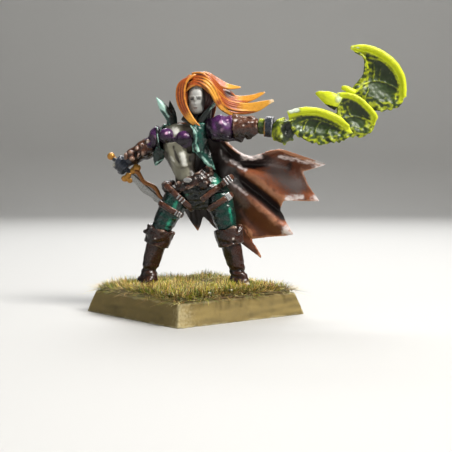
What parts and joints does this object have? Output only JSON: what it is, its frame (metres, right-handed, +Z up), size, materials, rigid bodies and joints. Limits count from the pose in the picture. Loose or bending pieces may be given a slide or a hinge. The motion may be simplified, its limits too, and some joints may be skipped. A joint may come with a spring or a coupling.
{
  "type": "painted miniature figure",
  "caption": "Painted metal gaming miniature of a cloaked ranger with a dagger and a leaf-plated arm weapon, standing on a slotted square base.",
  "frame": {"origin": "centre of the base's underside, on the surface that the base stands on", "axes": "+Z up; +X the way the weapon arm reaches; -Y the way the figure faces; the square base is turned 39 degrees about +Z"},
  "size_m": [0.051, 0.0352, 0.0424],
  "materials": {
    "base_paint": "hand-painted olive ochre, matt, brush strokes showing",
    "bare_metal": "bare cast white metal, dull",
    "ground_paint": "brown textured ground paste, matt",
    "static_grass": "mixed straw and green static grass fibres",
    "pebble_paint": "pale grit, matt",
    "teal_cloth": "dark teal paint with bright green edge highlights, satin",
    "brown_leather": "brown leather paint with pale highlights, satin",
    "skin": "pale flesh paint with dark wash, matt",
    "purple_cloth": "purple paint with pink highlights, satin",
    "dark_glove": "blue-black paint with grey highlights, satin",
    "silver_trim": "silver metallic paint",
    "gold_trim": "gold metallic paint",
    "blade_metal": "steel and bronze metallic paint",
    "leaf_green": "bright yellow-green paint over dark green, glossy",
    "red_hair": "orange-red paint with yellow highlights and dark wash, satin",
    "cloak_cloth": "rust-brown paint, dry-brushed to pale tips, matt",
    "brass_rod": "bare drawn brass rod"
  },
  "bodies": {
    "root": {"base_shell": "base_paint", "belt_buckle": "silver_trim", "bodice": "purple_cloth", "bodice_cups": "purple_cloth", "chest": "skin", "cloak": "cloak_cloth", "cloak_pin": "brass_rod", "dagger_blade": "blade_metal", "dagger_grip": "dark_glove", "dagger_guard": "gold_trim", "dagger_pommel": "gold_trim", "front_hair_lock": "red_hair", "ground_paste": "ground_paint", "hair_cap": "red_hair", "hand_cup": "leaf_green", "hand_ring": "dark_glove", "head": "skin", "hips": "teal_cloth", "left_arm_pin": "brass_rod", "left_boot": "brown_leather", "left_boot_cuff": "brown_leather", "left_bracer": "brown_leather", "left_collar": "teal_cloth", "left_pouch": "brown_leather", "left_sleeve": "purple_cloth", "left_strap_buckles": "silver_trim", "left_thigh": "teal_cloth", "left_thigh_straps": "brown_leather", "left_waistcoat_tail": "teal_cloth", "long_hair_lock": "red_hair", "lower_leaf": "leaf_green", "middle_hair_lock": "red_hair", "middle_leaf": "leaf_green", "midriff": "skin", "pebbles": "pebble_paint", "right_boot": "brown_leather", "right_boot_cuff": "brown_leather", "right_bracer": "brown_leather", "right_collar": "teal_cloth", "right_glove": "dark_glove", "right_pouch": "brown_leather", "right_sleeve": "purple_cloth", "right_strap_buckles": "silver_trim", "right_thigh": "teal_cloth", "right_thigh_straps": "brown_leather", "right_waistcoat_tail": "teal_cloth", "slot_tab": "bare_metal", "turf": "static_grass", "upper_hair_lock": "red_hair", "upper_leaf": "leaf_green", "waist_belt": "brown_leather", "waistcoat": "teal_cloth", "weapon_pin": "brass_rod", "weapon_spine": "leaf_green", "weapon_thorns": "leaf_green", "wrist_band": "leaf_green"}
  },
  "joints": []
}
